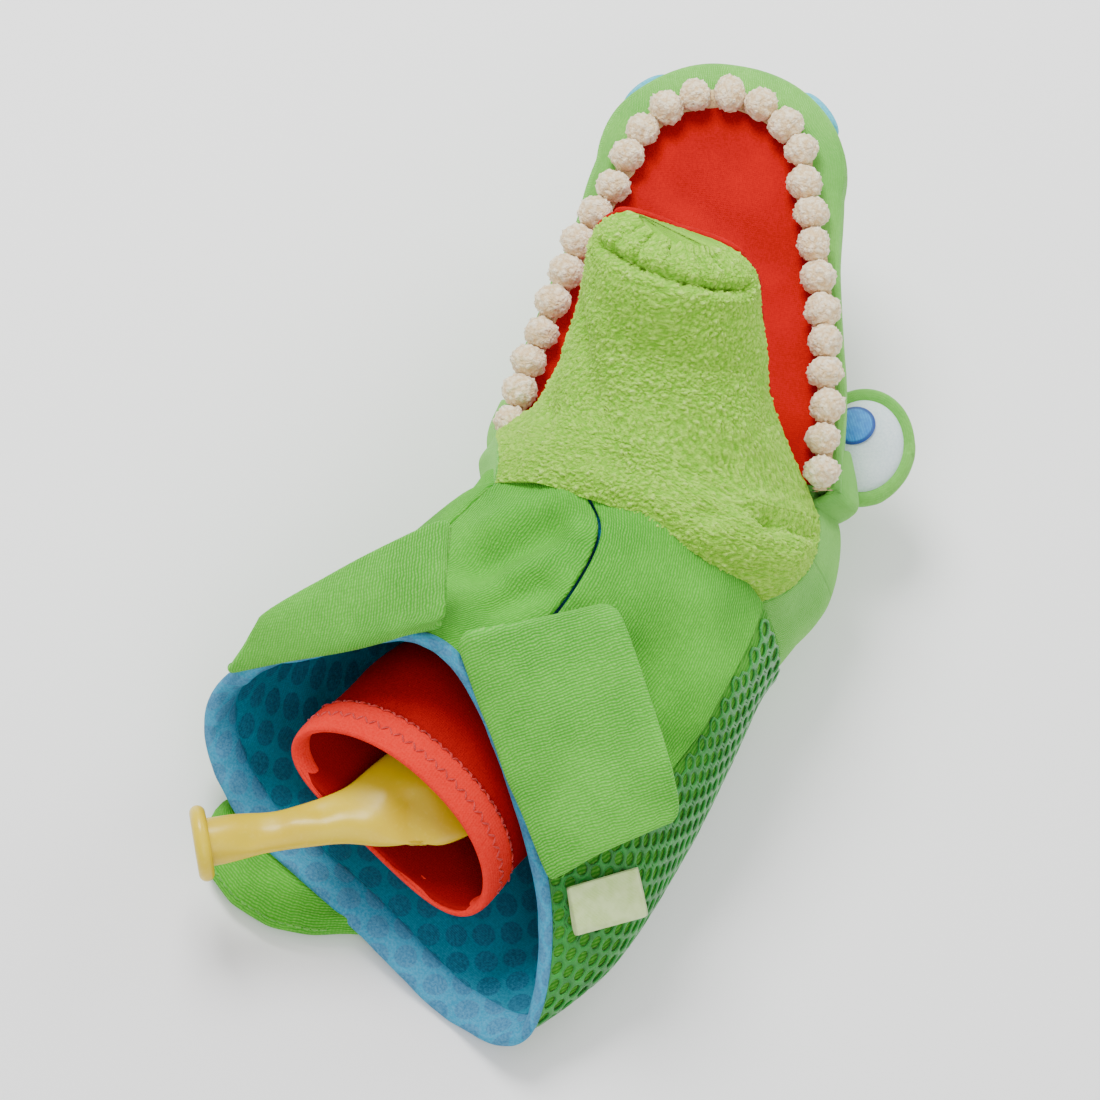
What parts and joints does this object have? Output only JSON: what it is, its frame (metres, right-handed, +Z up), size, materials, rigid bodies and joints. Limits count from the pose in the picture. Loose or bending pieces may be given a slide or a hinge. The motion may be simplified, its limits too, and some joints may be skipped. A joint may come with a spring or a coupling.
{
  "type": "glove puppet",
  "caption": "Plush crocodile glove puppet with a moving mouth, bobble teeth, a lined sleeve with two cuffs, and a pouch in the hem that holds a limp balloon.",
  "frame": {"origin": "middle of the flat of the back, on the surface that the puppet lies on", "axes": "+Z up, out of the belly; +Y from the open hem to the neck; +X to the right seen from the hem"},
  "size_m": [0.1707, 0.3125, 0.1257],
  "materials": {
    "velour": "matte",
    "head_velour": "matte",
    "terry": "matte",
    "mesh": "satin",
    "lining": "matte",
    "red_jersey": "matte",
    "pouch_jersey": "matte",
    "pouch_band": "matte",
    "bobble": "matte",
    "latex": "gloss",
    "board": "matte",
    "nostril": "matte",
    "eye_pad": "matte",
    "iris": "satin",
    "label": "satin"
  },
  "bodies": {
    "sleeve": {"back_panel": "velour", "left_side_panel": "velour", "right_side_panel": "velour", "side_mesh": "mesh", "belly_left": "velour", "belly_right": "velour", "sleeve_lining": "lining", "hem_binding": "lining", "woven_label": "label", "balloon_pouch": "pouch_jersey", "pouch_band": "pouch_band"},
    "left_cuff": {"cuff_left": "velour"},
    "right_cuff": {"cuff_right": "velour"},
    "tail_piece": {"tail": "velour"},
    "limp_balloon": {"balloon": "latex"},
    "neck": {"neck_lining": "lining", "neck_gusset": "head_velour"},
    "head": {"throat_gusset": "terry", "head_back": "head_velour", "snout_cover": "head_velour", "upper_mouth_board": "board", "upper_palate": "red_jersey", "tooth_trim": "bobble", "trim_tape": "bobble", "nostril_left": "nostril", "nostril_right": "nostril", "eye_pad_left": "eye_pad", "eye_pad_right": "eye_pad", "iris_left": "iris", "iris_right": "iris", "eye_lid_left": "head_velour", "eye_lid_right": "head_velour"},
    "lower_jaw": {"lower_jaw_cover": "terry", "lower_mouth_board": "board", "lower_palate": "red_jersey"}
  },
  "joints": [
    {"name": "neck_turn", "type": "hinge", "parent": "sleeve", "child": "neck", "pos_m": [-0.005, 0.072, 0.044], "axis": [0, 0, 1], "range_deg": [-50, 8]},
    {"name": "neck_nod", "type": "hinge", "parent": "neck", "child": "head", "pos_m": [-0.005, 0.072, 0.044], "axis": [0.866, 0.5, 0], "range_deg": [-10, 12]},
    {"name": "mouth", "type": "hinge", "parent": "head", "child": "lower_jaw", "pos_m": [-0.01853, 0.08883, 0.05476], "axis": [0.8683, 0.4593, 0.1873], "range_deg": [-50, 9]},
    {"name": "right_cuff_lift", "type": "hinge", "parent": "sleeve", "child": "right_cuff", "pos_m": [0.0145, -0.032, 0.06625], "axis": [0.8115, -0.3091, -0.4959], "range_deg": [0, 80]},
    {"name": "left_cuff_lift", "type": "hinge", "parent": "sleeve", "child": "left_cuff", "pos_m": [-0.046, -0.0365, 0.0736], "axis": [0.7141, 0.5031, 0.4869], "range_deg": [0, 60]},
    {"name": "tail_swing", "type": "hinge", "parent": "sleeve", "child": "tail_piece", "pos_m": [0.008, -0.073, 0.0025], "axis": [0, 0, 1], "range_deg": [0, 80]},
    {"name": "balloon_pull", "type": "slide", "parent": "sleeve", "child": "limp_balloon", "axis": [0, -1, 0], "range_m": [0, 0.03]}
  ]
}
